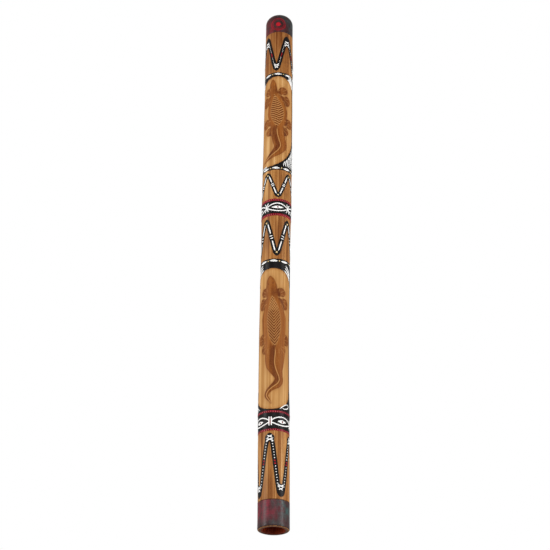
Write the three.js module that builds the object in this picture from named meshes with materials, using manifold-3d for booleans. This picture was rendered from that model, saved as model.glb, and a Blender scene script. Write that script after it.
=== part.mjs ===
// A bamboo didgeridoo: one bored-out culm with two carved panels, a turned wooden mouthpiece glued
// into its upper end by a spigot, and the ring of beeswax that makes that joint airtight.
// Millimetres. +Z runs up the bore from the bell to the mouth, and the bell's rim lies on z = 0.
// The carved side faces -Y.

import * as THREE from "three";
import { mergeVertices } from "three/addons/utils/BufferGeometryUtils.js";
import Module from "manifold-3d";

const wasm = await Module();
wasm.setup();

// ---- Driving dimensions --------------------------------------------------------------------

const TOTAL_LENGTH = 1200;
const CULM_LENGTH = 1145;
const ROUND_SEGMENTS = 40;
const CLEARANCE = 0.3;

// The girth of the culm: [height, radius of the skin]. It swells at its nodes, as bamboo does.
const GIRTH = [
  [0, 30.8],
  [14, 30.6],
  [110, 30.8],
  [190, 30.6],
  [232, 31.1],
  [275, 30.4],
  [430, 30.3],
  [520, 30.5],
  [610, 30.2],
  [700, 31.2],
  [800, 31.0],
  [930, 30.9],
  [1010, 30.3],
  [1061, 31.0],
  [1110, 30.4],
  [CULM_LENGTH, 30.2],
];
const LEVELS_PER_STRETCH = 3;
const LEAST_LEVEL_GAP = 1;

// The culm's natural crook: how far its axis bows towards -X, and the heights where that starts,
// peaks and ends. Its mouth end is straight, so the mouthpiece sits true.
const CROOK = 3.3;
const CROOK_START = 0;
const CROOK_PEAK = 385;
const CROOK_END = 1020;

// The bore: bored through the culm, with a low ring left at each node where the wall across was.
const BORE_RADIUS = 23.3;
const NODE_HEIGHTS = [232, 700, 1061];
const NODE_RING_RADIUS = 19.8;
const NODE_RING_HALF_LENGTH = 2.5;
const NODE_RING_SHOULDER = 6;
const NODE_RING_STEP = { alongShoulder: 1 / 3, towardsBore: 0.45 };
const BORE_LEVEL_SPACING = 80;
const BELL_OUTER_ROUND = 3.2;
const BELL_INNER_ROUND = 1.4;
const MOUTH_EDGE_CHAMFER = 0.5;

// The carved panels are fields cut below the skin. middle and halfAngle are in degrees from -Y,
// positive towards +X. The arches round a panel's ends, and slant lifts its foot on the right.
const PANEL_DEPTH = 1.0;
const PANEL_COLUMNS = 20;
const PANEL_ROWS = 14;
const CUTTER_HEADROOM = 4;
const LOWER_PANEL = {
  middle: -7, halfAngle: 83, bottom: 236, top: 544, bottomArch: 46, topArch: 32, slant: 0,
};
const UPPER_PANEL = {
  middle: -3, halfAngle: 79, bottom: 791, top: 1022, bottomArch: 12, topArch: 32, slant: 58,
};
const SLANT_CURVE = 3.5;

// The mouthpiece: a dome with a blowing hole, on a spigot that enters the culm.
const MOUTHPIECE_RADIUS = 30.2;
const DOME_RADIUS = 19;
const HOLE_RADIUS = 14.4;
const HOLE_RADIUS_AT_SPIGOT = 17.5;
const HOLE_FILLET = 4;
const SPIGOT_RADIUS = 21.6;
const SPIGOT_LENGTH = 42;

// The beeswax: a sleeve round the spigot, and a fairing under it that leads into the bore.
const SEAL_TOP_GAP = 2;
const FAIRING_HEIGHT = 9;
const FAIRING_EDGE = 0.6;

// How many straight lines stand in for each rounded edge of a turned profile.
const ARC_STEPS = { bellOuter: 4, bellInner: 3, dome: 8, holeFillet: 5 };

// Finishes: the colour and roughness of each piece.
const BAMBOO = { color: 0xa8763f, roughness: 0.5 };
const PAINTED_WOOD = { color: 0x3a3437, roughness: 0.45 };
const BEESWAX = { color: 0xb98a3a, roughness: 0.6 };
const WELD_DISTANCE = 1e-3;

// ---- Shared shape helpers ------------------------------------------------------------------

function skinRadius(z) {
  const upper = GIRTH.findIndex(([height]) => height >= z);
  if (upper < 1) return upper === 0 ? GIRTH[0][1] : GIRTH.at(-1)[1];
  const [lowHeight, lowRadius] = GIRTH[upper - 1];
  const [highHeight, highRadius] = GIRTH[upper];
  const share = THREE.MathUtils.smoothstep(z, lowHeight, highHeight);
  return THREE.MathUtils.lerp(lowRadius, highRadius, share);
}

function crookOffset(z) {
  const rise = THREE.MathUtils.smoothstep(z, CROOK_START, CROOK_PEAK);
  const fall = THREE.MathUtils.smoothstep(z, CROOK_PEAK, CROOK_END);
  return -CROOK * rise * (1 - fall);
}

// Moves each vertex sideways with the culm's crooked axis.
function followCrook(geometry) {
  const position = geometry.getAttribute("position");
  for (let i = 0; i < position.count; i++) {
    position.setX(i, position.getX(i) + crookOffset(position.getZ(i)));
  }
  return geometry;
}

// Points of an arc about (centreR, centreZ), from one angle to another, in degrees.
function arc(centreR, centreZ, radius, fromDegrees, toDegrees, steps) {
  const points = [];
  for (let i = 0; i <= steps; i++) {
    const angle = THREE.MathUtils.degToRad(fromDegrees + ((toDegrees - fromDegrees) * i) / steps);
    points.push(new THREE.Vector2(centreR + radius * Math.cos(angle), centreZ + radius * Math.sin(angle)));
  }
  return points;
}

// A solid of revolution about +Z. The profile is a list of (radius, height) points, closed here.
function turned(profile) {
  const closed = [...profile, profile[0].clone()];
  const lathe = new THREE.LatheGeometry(closed, ROUND_SEGMENTS);
  return lathe.rotateX(Math.PI / 2);
}

function toSolid(geometry) {
  const bare = geometry.clone();
  bare.deleteAttribute("normal");
  bare.deleteAttribute("uv");
  const merged = mergeVertices(bare, WELD_DISTANCE);
  const vertProperties = new Float32Array(merged.getAttribute("position").array);
  const triVerts = new Uint32Array(merged.index.array);
  return new wasm.Manifold(new wasm.Mesh({ numProp: 3, vertProperties, triVerts }));
}

function toGeometry(solid) {
  const mesh = solid.getMesh();
  const geometry = new THREE.BufferGeometry();
  geometry.setAttribute("position", new THREE.BufferAttribute(mesh.vertProperties, 3));
  geometry.setIndex(new THREE.BufferAttribute(mesh.triVerts, 1));
  geometry.computeVertexNormals();
  return geometry;
}

function namedMesh(name, geometry, finish) {
  const mesh = new THREE.Mesh(geometry, new THREE.MeshStandardMaterial({ ...finish, metalness: 0 }));
  mesh.name = name;
  return mesh;
}

// ---- Culm ----------------------------------------------------------------------------------

function skinProfile() {
  const roundCentre = GIRTH[0][1] - BELL_OUTER_ROUND;
  const points = arc(roundCentre, BELL_OUTER_ROUND, BELL_OUTER_ROUND, -90, 0, ARC_STEPS.bellOuter);
  const lowest = BELL_OUTER_ROUND + LEAST_LEVEL_GAP;
  const top = CULM_LENGTH - MOUTH_EDGE_CHAMFER;
  for (let i = 1; i < GIRTH.length; i++) {
    for (let step = 1; step <= LEVELS_PER_STRETCH; step++) {
      const height = THREE.MathUtils.lerp(GIRTH[i - 1][0], GIRTH[i][0], step / LEVELS_PER_STRETCH);
      if (height > lowest && height < top - LEAST_LEVEL_GAP) {
        points.push(new THREE.Vector2(skinRadius(height), height));
      }
    }
  }
  points.push(new THREE.Vector2(skinRadius(top), top));
  points.push(new THREE.Vector2(skinRadius(CULM_LENGTH) - MOUTH_EDGE_CHAMFER, CULM_LENGTH));
  return points;
}

function nodeRingProfile(height) {
  const outer = NODE_RING_HALF_LENGTH + NODE_RING_SHOULDER;
  const middle = NODE_RING_HALF_LENGTH + NODE_RING_SHOULDER * NODE_RING_STEP.alongShoulder;
  const shoulderRadius = THREE.MathUtils.lerp(NODE_RING_RADIUS, BORE_RADIUS, NODE_RING_STEP.towardsBore);
  return [
    new THREE.Vector2(BORE_RADIUS, height + outer),
    new THREE.Vector2(shoulderRadius, height + middle),
    new THREE.Vector2(NODE_RING_RADIUS, height + NODE_RING_HALF_LENGTH),
    new THREE.Vector2(NODE_RING_RADIUS, height - NODE_RING_HALF_LENGTH),
    new THREE.Vector2(shoulderRadius, height - middle),
    new THREE.Vector2(BORE_RADIUS, height - outer),
  ];
}

// The bore's levels between two heights, downwards, close enough together to follow the crook.
function boreWall(fromHeight, toHeight) {
  const steps = Math.max(1, Math.round((fromHeight - toHeight) / BORE_LEVEL_SPACING));
  const points = [];
  for (let i = 1; i < steps; i++) {
    points.push(new THREE.Vector2(BORE_RADIUS, THREE.MathUtils.lerp(fromHeight, toHeight, i / steps)));
  }
  return points;
}

function boreProfile() {
  const points = [new THREE.Vector2(BORE_RADIUS, CULM_LENGTH)];
  for (const height of [...NODE_HEIGHTS].reverse()) {
    const ring = nodeRingProfile(height);
    points.push(...boreWall(points.at(-1).y, ring[0].y), ...ring);
  }
  points.push(...boreWall(points.at(-1).y, BELL_INNER_ROUND));
  const roundCentre = BORE_RADIUS + BELL_INNER_ROUND;
  points.push(...arc(roundCentre, BELL_INNER_ROUND, BELL_INNER_ROUND, 180, 270, ARC_STEPS.bellInner));
  return points;
}

// The lower and upper edge of a panel, from its left side (across is -1) to its right side (1).
function panelEdges(panel, across) {
  const arch = 1 - Math.sqrt(Math.max(0, 1 - across * across));
  const slant = panel.slant * Math.pow((across + 1) / 2, SLANT_CURVE);
  return [panel.bottom + slant + panel.bottomArch * arch, panel.top - panel.topArch * arch];
}

// A closed slab that follows the skin: its inner face is the panel's floor, its outer face is
// clear of the skin, and its outline is the panel's outline.
function panelCutter(panel) {
  const positions = [];
  const indices = [];
  const rowLength = PANEL_COLUMNS + 1;
  const layerSize = rowLength * (PANEL_ROWS + 1);
  for (const offset of [-PANEL_DEPTH, CUTTER_HEADROOM]) {
    for (let row = 0; row <= PANEL_ROWS; row++) {
      for (let column = 0; column <= PANEL_COLUMNS; column++) {
        // Columns crowd towards both sides, where the arched ends curve most.
        const across = Math.sin((column / PANEL_COLUMNS - 0.5) * Math.PI);
        const angle = THREE.MathUtils.degToRad(panel.middle + panel.halfAngle * across);
        const [low, high] = panelEdges(panel, across);
        const z = THREE.MathUtils.lerp(low, high, row / PANEL_ROWS);
        const radius = skinRadius(z) + offset;
        positions.push(radius * Math.sin(angle), -radius * Math.cos(angle), z);
      }
    }
  }
  const quad = (a, b, c, d) => indices.push(a, b, c, a, c, d);
  const at = (layer, row, column) => layer * layerSize + row * rowLength + column;
  for (let row = 0; row < PANEL_ROWS; row++) {
    for (let column = 0; column < PANEL_COLUMNS; column++) {
      quad(at(1, row, column), at(1, row, column + 1), at(1, row + 1, column + 1), at(1, row + 1, column));
      quad(at(0, row, column), at(0, row + 1, column), at(0, row + 1, column + 1), at(0, row, column + 1));
    }
  }
  const last = PANEL_COLUMNS;
  for (let row = 0; row < PANEL_ROWS; row++) {
    quad(at(0, row, 0), at(1, row, 0), at(1, row + 1, 0), at(0, row + 1, 0));
    quad(at(0, row, last), at(0, row + 1, last), at(1, row + 1, last), at(1, row, last));
  }
  const top = PANEL_ROWS;
  for (let column = 0; column < PANEL_COLUMNS; column++) {
    quad(at(0, 0, column), at(0, 0, column + 1), at(1, 0, column + 1), at(1, 0, column));
    quad(at(0, top, column), at(1, top, column), at(1, top, column + 1), at(0, top, column + 1));
  }
  const geometry = new THREE.BufferGeometry();
  geometry.setAttribute("position", new THREE.Float32BufferAttribute(positions, 3));
  geometry.setIndex(indices);
  return geometry;
}

function culm() {
  let solid = toSolid(followCrook(turned([...skinProfile(), ...boreProfile()])));
  for (const panel of [LOWER_PANEL, UPPER_PANEL]) {
    solid = solid.subtract(toSolid(followCrook(panelCutter(panel))));
  }
  return namedMesh("culm", toGeometry(solid), BAMBOO);
}

// ---- Mouthpiece ----------------------------------------------------------------------------

// The dome's arc and the hole's fillet touch on one line, so the lip is smooth. Its crest is at
// the full length of the instrument.
function lipProfile() {
  const domeCentreR = MOUTHPIECE_RADIUS - DOME_RADIUS;
  const filletCentreR = HOLE_RADIUS + HOLE_FILLET;
  const leanSine = (filletCentreR - domeCentreR) / (DOME_RADIUS - HOLE_FILLET);
  const lean = Math.asin(leanSine);
  const filletCentreZ = TOTAL_LENGTH - HOLE_FILLET;
  const domeCentreZ = filletCentreZ - (DOME_RADIUS - HOLE_FILLET) * Math.cos(lean);
  const touchDegrees = 90 - THREE.MathUtils.radToDeg(lean);
  const dome = arc(domeCentreR, domeCentreZ, DOME_RADIUS, 0, touchDegrees, ARC_STEPS.dome);
  const fillet = arc(filletCentreR, filletCentreZ, HOLE_FILLET, touchDegrees, 180, ARC_STEPS.holeFillet);
  return [...dome, ...fillet.slice(1)];
}

function mouthpiece() {
  const shoulder = CULM_LENGTH + CLEARANCE;
  const spigotEnd = CULM_LENGTH - SPIGOT_LENGTH;
  const profile = [
    new THREE.Vector2(HOLE_RADIUS_AT_SPIGOT, spigotEnd),
    new THREE.Vector2(SPIGOT_RADIUS - MOUTH_EDGE_CHAMFER, spigotEnd),
    new THREE.Vector2(SPIGOT_RADIUS, spigotEnd + MOUTH_EDGE_CHAMFER),
    new THREE.Vector2(SPIGOT_RADIUS, shoulder),
    new THREE.Vector2(MOUTHPIECE_RADIUS - MOUTH_EDGE_CHAMFER, shoulder),
    new THREE.Vector2(MOUTHPIECE_RADIUS, shoulder + MOUTH_EDGE_CHAMFER),
    ...lipProfile(),
  ];
  return namedMesh("mouthpiece", turned(profile), PAINTED_WOOD);
}

// ---- Beeswax seal --------------------------------------------------------------------------

function mouthpieceSeal() {
  const inner = SPIGOT_RADIUS + CLEARANCE;
  const outer = BORE_RADIUS - CLEARANCE;
  const spigotEnd = CULM_LENGTH - SPIGOT_LENGTH;
  const fairingTop = spigotEnd - CLEARANCE;
  const profile = [
    new THREE.Vector2(outer - FAIRING_EDGE, fairingTop - FAIRING_HEIGHT),
    new THREE.Vector2(outer, fairingTop - FAIRING_HEIGHT),
    new THREE.Vector2(outer, CULM_LENGTH - SEAL_TOP_GAP),
    new THREE.Vector2(inner, CULM_LENGTH - SEAL_TOP_GAP),
    new THREE.Vector2(inner, fairingTop),
    new THREE.Vector2(HOLE_RADIUS_AT_SPIGOT + FAIRING_EDGE, fairingTop),
    new THREE.Vector2(HOLE_RADIUS_AT_SPIGOT + FAIRING_EDGE, fairingTop - FAIRING_EDGE),
  ];
  return namedMesh("mouthpiece_seal", turned(profile), BEESWAX);
}

// ---- Assembly ------------------------------------------------------------------------------

const didgeridoo = new THREE.Group();
didgeridoo.add(culm());
didgeridoo.add(mouthpiece());
didgeridoo.add(mouthpieceSeal());

export default didgeridoo;
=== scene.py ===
"""A carved and painted bamboo didgeridoo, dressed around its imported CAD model.

+Z runs from the bell to the mouth, and the carved side faces -Y. Places on the instrument are given
as an angle round it, in degrees from -Y towards +X, and a run: the length along the surface, which is
the height on the straight part and follows the rounding at both ends. Shapes are worked out in
millimetres and built in metres. Textures, light and camera are in metres.
"""

import math

import bpy
import numpy as np
from mathutils import Matrix, Vector


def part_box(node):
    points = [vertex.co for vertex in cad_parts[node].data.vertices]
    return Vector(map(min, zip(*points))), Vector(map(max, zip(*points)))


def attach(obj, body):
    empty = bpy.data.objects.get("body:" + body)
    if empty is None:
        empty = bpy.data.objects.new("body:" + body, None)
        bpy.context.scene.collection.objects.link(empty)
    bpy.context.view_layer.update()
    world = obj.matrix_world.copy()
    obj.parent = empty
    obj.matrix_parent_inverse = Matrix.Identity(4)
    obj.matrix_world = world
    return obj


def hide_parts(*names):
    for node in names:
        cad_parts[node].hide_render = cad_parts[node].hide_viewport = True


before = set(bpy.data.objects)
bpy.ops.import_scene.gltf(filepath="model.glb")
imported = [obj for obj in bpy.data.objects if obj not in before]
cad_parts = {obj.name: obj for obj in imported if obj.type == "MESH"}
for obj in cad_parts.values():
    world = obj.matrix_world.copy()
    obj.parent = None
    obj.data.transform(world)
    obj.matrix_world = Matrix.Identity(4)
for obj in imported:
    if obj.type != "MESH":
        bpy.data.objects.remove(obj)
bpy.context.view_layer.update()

# ---- Sizes, from the CAD model where it has them ----

MM = 0.001
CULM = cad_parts["culm"]
CULM_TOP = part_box("culm")[1].z / MM
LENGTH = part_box("mouthpiece")[1].z / MM
LEAST_SKIN_RADIUS = 28.7
BELL_ROUND = 3.2
BELL_INNER_ROUND = 1.4
BORE_RADIUS = 23.3
LEAST_BORE_RADIUS = 19
LIP = 0.4
DOME_RADIUS = 19
HOLE_RADIUS = 14.4
HOLE_LOW_RADIUS = 17.5
HOLE_FILLET = 4
SPIGOT_RADIUS = 21.6
GLUE = 0.3
NODE_HEIGHTS = (232, 700, 1061)
NOMINAL_RADIUS = 30.2
PANEL_DEPTH = 1.0
PAINT = 0.16
BURIED = 0.25


def unit(values):
    """The values held between 0 and 1."""
    return np.clip(values, 0, 1)


def pairs(first, second):
    return np.stack([first, second], axis=-1)


def read_line(co, lowest, highest, start, end):
    """Height, sideways offset and radius of each level along the culm's back, away from the carving."""
    line = []
    same_level = 0.02
    levels = np.unique(np.round(co[:, 2], 2))
    for height in levels[(levels > start) & (levels < end)]:
        ring = co[np.abs(co[:, 2] - height) < same_level]
        ring = ring[(ring[:, 1] > lowest) & (ring[:, 1] < highest)]
        if len(ring):
            back = ring[np.argmax(ring[:, 1])]
            line.append((height, back[0], back[1]))
    return np.array(line)


def smooth_line(heights, values, grid):
    """The values on an even grid, with their corners rounded off."""
    spread = np.interp(grid, heights, values)
    reach = 12
    kernel = np.exp(-0.5 * (np.arange(-2 * reach, 2 * reach + 1) / (0.5 * reach)) ** 2)
    padded = np.pad(spread, 2 * reach, mode="edge")
    return np.convolve(padded, kernel / kernel.sum(), mode="valid")


culm_points = np.array([v.co for v in CULM.data.vertices]) / MM
skin_levels = read_line(culm_points, LEAST_SKIN_RADIUS, math.inf, BELL_ROUND - 0.1, CULM_TOP - 0.1)
GRID = np.arange(0.0, CULM_TOP + 1)
SKIN_RADIUS = smooth_line(skin_levels[:, 0], skin_levels[:, 2], GRID)
SKIN_BOW = smooth_line(skin_levels[:, 0], skin_levels[:, 1], GRID)

FILLET_CENTRE = HOLE_RADIUS + HOLE_FILLET
DOME_CENTRE = NOMINAL_RADIUS - DOME_RADIUS
DOME_LEAN = math.asin((FILLET_CENTRE - DOME_CENTRE) / (DOME_RADIUS - HOLE_FILLET))
DOME_HEIGHT = LENGTH - HOLE_FILLET - (DOME_RADIUS - HOLE_FILLET) * math.cos(DOME_LEAN)


def bow(height):
    return np.interp(height, GRID, SKIN_BOW)


def radius_at(height):
    return np.interp(height, GRID, SKIN_RADIUS)


def unevenness(degrees, run):
    """How far the hand-scraped skin stands off a true round. It fades out at both ends."""
    a = np.radians(degrees)
    wave = 0.10 * np.sin(2 * a + run / 71 + 0.7) + 0.06 * np.sin(5 * a - run / 43)
    wave += 0.05 * np.sin(9 * a + 1.3 + 2 * np.sin(run / 60)) + 0.05 * np.sin(run / 19 + a)
    ridges = sum(0.35 * np.exp(-(((run - n) / 2.2) ** 2)) for n in NODE_HEIGHTS)
    grooves = sum(0.22 * np.exp(-(((run - n - 4.5) / 1.6) ** 2)) for n in NODE_HEIGHTS)
    fade = unit(run / 20) * unit((CULM_TOP - run) / 20)
    return (wave + ridges - grooves) * fade


def place(degrees, run, lift=0.0):
    """Points on the instrument's outside, raised by lift along the surface's normal."""
    degrees, run, lift = np.broadcast_arrays(*(np.asarray(v, float) for v in (degrees, run, lift)))
    angle = np.radians(degrees)
    bell_turn = np.clip((BELL_ROUND - run) / BELL_ROUND, 0, math.pi / 2)
    dome_turn = np.clip((run - DOME_HEIGHT) / DOME_RADIUS, 0, math.pi / 2 - DOME_LEAN)
    level = np.clip(run, BELL_ROUND, DOME_HEIGHT)
    lift = lift + unevenness(degrees, run)
    radius = radius_at(level) + (np.cos(bell_turn) - 1) * BELL_ROUND + (np.cos(dome_turn) - 1) * DOME_RADIUS
    radius = radius + lift * np.cos(bell_turn) * np.cos(dome_turn)
    height = level - (BELL_ROUND + lift) * np.sin(bell_turn) + (DOME_RADIUS + lift) * np.sin(dome_turn)
    side = np.where(run > BELL_ROUND, bow(level), bow(BELL_ROUND))
    return np.stack([side + radius * np.sin(angle), -radius * np.cos(angle), height], axis=-1)


# ---- Meshes ----


def add_object(name, data):
    made = bpy.data.objects.new(name, data)
    bpy.context.scene.collection.objects.link(made)
    return made


class Shape:
    """Vertices, faces and point attributes gathered for one piece."""

    def __init__(self):
        self.points, self.faces, self.count = [], [], 0

    def add_grid(self, points, wrap=False, flip=False):
        """A sheet over a (rows, columns) grid of points. wrap joins the last column to the first."""
        rows, columns = points.shape[:2]
        index = self.count + np.arange(rows * columns).reshape(rows, columns)
        self.points.append(points.reshape(-1, 3))
        self.count += rows * columns
        if wrap:
            index = np.concatenate([index, index[:, :1]], axis=1)
        quads = np.stack([index[:-1, :-1], index[:-1, 1:], index[1:, 1:], index[1:, :-1]], axis=-1)
        quads = quads.reshape(-1, 4)
        self.faces.append(quads[:, ::-1] if flip else quads)
        return index

    def add_slab(self, top, bottom, wrap=False):
        """A closed film between two grids of the same shape."""
        upper = self.add_grid(top, wrap)
        lower = self.add_grid(bottom, wrap, flip=True)
        edges = [(upper[0], lower[0]), (upper[-1][::-1], lower[-1][::-1])]
        if not wrap:
            edges += [(upper[::-1, 0], lower[::-1, 0]), (upper[:, -1], lower[:, -1])]
        for high, low in edges:
            self.faces.append(np.stack([low[:-1], low[1:], high[1:], high[:-1]], axis=-1))

    def build(self, name, material, slot, **attributes):
        points = np.concatenate(self.points)
        faces = np.concatenate(self.faces)
        mesh = bpy.data.meshes.new(name)
        mesh.vertices.add(len(points))
        mesh.vertices.foreach_set("co", (points * MM).astype(np.float32).ravel())
        mesh.loops.add(faces.size)
        mesh.loops.foreach_set("vertex_index", faces.astype(np.int32).ravel())
        mesh.polygons.add(len(faces))
        mesh.polygons.foreach_set("loop_start", np.arange(0, faces.size, 4, dtype=np.int32))
        mesh.update(calc_edges=True)
        mesh.validate()
        mesh.shade_smooth()
        for key, values in attributes.items():
            layer = mesh.attributes.new(key, "FLOAT", "POINT")
            layer.data.foreach_set("value", values.astype(np.float32).ravel())
        mesh.materials.append(material)
        piece = add_object(name, mesh)
        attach(piece, "root")
        return piece


def resample(points, step, smooth):
    """An even path through plane points, rounded at its corners where smooth is true."""
    points = np.asarray(points, float)
    if smooth and len(points) > 2:
        longer = np.concatenate([[2 * points[0] - points[1]], points, [2 * points[-1] - points[-2]]])
        t = np.linspace(0, 1, 12, endpoint=False)[:, None]
        spans = [0.5 * (2 * b + (c - a) * t + (2 * a - 5 * b + 4 * c - d) * t**2
                        + (3 * b - a - 3 * c + d) * t**3)
                 for a, b, c, d in zip(longer, longer[1:], longer[2:], longer[3:])]
        points = np.concatenate([*spans, points[-1:]])
    lengths = np.concatenate([[0], np.cumsum(np.linalg.norm(np.diff(points, axis=0), axis=1))])
    count = max(3, int(round(lengths[-1] / step)) + 1)
    even = np.linspace(0, lengths[-1], count)
    return pairs(*(np.interp(even, lengths, points[:, k]) for k in (0, 1))), even


def to_plane(points):
    """(degrees, run) pairs as lengths round and along the instrument."""
    points = np.array(points, float)
    points[:, 0] = np.radians(points[:, 0]) * NOMINAL_RADIUS
    return points


def to_degrees(lengths):
    return np.degrees(lengths / NOMINAL_RADIUS)


ACROSS = np.array([-1.0, -0.82, -0.4, 0.4, 0.82, 1.0])
CROWN = np.array([-0.6, 0.55, 1.0, 1.0, 0.55, -0.6])


def film(shape, degrees, run, lift, bottom, wrap=False):
    """A closed film of paint over a grid of spots, lift high, with its underside in the skin."""
    shape.add_slab(place(degrees, run, lift), place(degrees, run, bottom - BURIED), wrap)


def stroke(shape, points, width, smooth=True, pointed=0.0, coats=1):
    """A brush stroke along (degrees, run) points, over so many coats of paint, with tapered ends."""
    path, along = resample(to_plane(points), 1.6, smooth)
    tangent = np.gradient(path, axis=0)
    tangent /= np.linalg.norm(tangent, axis=1)[:, None] + 1e-12
    side = pairs(-tangent[:, 1], tangent[:, 0])
    taper = max(pointed, width / 2)
    share = unit(np.minimum(along, along[-1] - along) / taper)
    ends = np.sqrt(1 - (1 - share) ** 2) if pointed <= width / 2 else share**0.7
    half = 0.55 * width * np.clip(ends, 0.06, 1)
    offset = half[:, None] * -ACROSS[None, :]
    spots = path[:, None, :] + side[:, None, :] * offset[..., None]
    base = PAINT * coats
    lift = base + PAINT * CROWN[None, :] * np.clip(half / (width / 2), 0.35, 1)[:, None]
    film(shape, to_degrees(spots[..., 0]), spots[..., 1], lift, base - PAINT)


def dot(shape, degrees, run, size, coats=1, tall=1.0):
    """A round blob of paint, size across. tall stretches it along the instrument."""
    base, thick = PAINT * coats, PAINT * 1.5
    rings = np.array([0.02, 0.45, 0.75, 0.93, 1.0])
    around = np.linspace(0, 2 * np.pi, 12, endpoint=False)
    reach = rings[::-1, None] * size / 2
    lift = base + thick * np.sqrt(unit(1.06 - rings[::-1] ** 2))[:, None] - thick * 0.25
    spots_run = run + reach * np.sin(around) * tall
    film(shape, degrees + to_degrees(reach * np.cos(around)), spots_run, lift, base, wrap=True)


AROUND = np.arange(-180, 180, 2.0)


def field(shape, low, high, coats=0, step=5):
    """A painted field right round, between two edges, each a run or a function of degrees."""
    degrees, base = AROUND, PAINT * coats
    low, high = (edge(degrees) if callable(edge) else np.full(len(degrees), float(edge))
                 for edge in (low, high))
    wander = 0.25 * (np.sin(degrees * 0.61) + np.sin(degrees * 0.23 + low * 0.4)) / 2
    low, high = low + wander, high - wander[::-1]
    rows = max(6, int(np.max(high - low) / step) + 4)
    inner = np.linspace(0, 1, rows - 2)
    edge = np.minimum(0.5 / np.maximum(high - low, 1), 0.3)
    share = np.concatenate([[0 * edge], edge + (1 - 2 * edge) * inner[:, None], [0 * edge + 1]])
    run = low + (high - low) * share
    lift = np.full(run.shape, PAINT)
    lift[0] = lift[-1] = -PAINT
    film(shape, np.broadcast_to(degrees, run.shape), run, base + lift, base - PAINT, wrap=True)


def lens(shape, degrees, run, length, height, bend=0.0, tilt=0.0):
    """A pointed leaf of paint with its long way round the instrument. tilt is in degrees."""
    across = np.linspace(-1, 1, 15)
    body = (1 - np.abs(across) ** 1.9) * height / 2
    share = np.array([-1.0, -0.85, -0.4, 0.4, 0.85, 1.0])
    lean = math.radians(tilt)
    x = across[None, :] * length / 2 + 0 * share[:, None]
    y = share[:, None] * body[None, :] + bend * (1 - across[None, :] ** 2)
    spots_degrees = degrees + to_degrees(x * math.cos(lean) - y * math.sin(lean))
    spots_run = run + x * math.sin(lean) + y * math.cos(lean)
    lift = PAINT + PAINT * CROWN[:, None] * (0.4 + 0.6 * (1 - np.abs(across[None, :]) ** 4))
    film(shape, spots_degrees, spots_run, lift, 0.0)


# ---- Materials ----


class Surface:
    """A node material: a Principled shader, and short calls that add the nodes that drive it."""

    def __init__(self, name, roughness=0.5, coat=0.0, coat_roughness=0.2, specular=0.5):
        self.material = bpy.data.materials.new(name)
        self.material.use_nodes = True
        self.tree = self.material.node_tree
        self.shader = self.tree.nodes["Principled BSDF"]
        self.set(self.shader, {"Roughness": roughness, "Coat Weight": coat,
                               "Coat Roughness": coat_roughness, "Specular IOR Level": specular})
        self.place = self.add("TexCoord").outputs["Object"]

    def set(self, node, inputs):
        """Link a node's inputs to other nodes' sockets, or give them plain values."""
        for key, value in inputs.items():
            if isinstance(value, bpy.types.NodeSocket):
                self.tree.links.new(value, node.inputs[key])
            else:
                node.inputs[key].default_value = value

    def add(self, kind, inputs=None, **settings):
        made = self.tree.nodes.new(f"ShaderNode{kind}")
        for key, value in settings.items():
            setattr(made, key, value)
        self.set(made, inputs or {})
        return made

    def axis(self, name):
        """How far along X, Y or Z a spot is."""
        return self.add("SeparateXYZ", {"Vector": self.place}).outputs[name]

    def noise(self, scale, stretch=(1, 1, 1), detail=3.0, roughness=0.55, shift=(0, 0, 0)):
        """Noise with about one feature per 1/scale metres; stretch sets that for each axis."""
        mapped = self.add("Mapping", {
            "Vector": self.place, "Scale": [scale * s for s in stretch], "Location": shift})
        made = self.add("TexNoise", {
            "Vector": mapped.outputs[0], "Scale": 1.0, "Detail": detail, "Roughness": roughness})
        return made.outputs["Fac"]

    def ramp(self, value, stops):
        """stops are (position, colour) pairs, with colours as sRGB 0 to 255."""
        made = self.add("ValToRGB", {"Fac": value})
        elements = made.color_ramp.elements
        while len(elements) < len(stops):
            elements.new(0.5)
        for element, (position, colour) in zip(elements, stops):
            element.position = position
            element.color = linear(colour)
        return made.outputs["Color"]

    def mix(self, share, first, second, blend="MIX"):
        """second is another socket, or a colour as sRGB 0 to 255."""
        colour = linear(second) if isinstance(second, tuple) else second
        inputs = {0: share, 6: first, 7: colour}
        return self.add("Mix", inputs, data_type="RGBA", blend_type=blend).outputs[2]

    def math(self, operation, first, second=0.0, clamp=False):
        values = {0: first, 1: second}
        return self.add("Math", values, operation=operation, use_clamp=clamp).outputs[0]

    def spread(self, value, low, high, to_low=0.0, to_high=1.0):
        made = self.add("MapRange", {
            "Value": value, "From Min": low, "From Max": high, "To Min": to_low, "To Max": to_high})
        return made.outputs["Result"]

    def attribute(self, name):
        return self.add("Attribute", attribute_name=name).outputs["Fac"]

    def finish(self, colour, roughness, bumps):
        """bumps are (height, depth in mm) pairs, and each adds to the one before."""
        normal = {}
        for height, depth in bumps:
            bump = self.add("Bump", {
                "Height": height, "Distance": depth * MM, "Strength": 1.0, **normal})
            normal = {"Normal": bump.outputs["Normal"]}
        self.set(self.shader, {"Base Color": colour, "Roughness": roughness, **normal})
        return self.material


def linear(colour):
    channels = [c / 255 for c in colour]
    return [c / 12.92 if c < 0.04045 else ((c + 0.055) / 1.055) ** 2.4 for c in channels] + [1.0]


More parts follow.
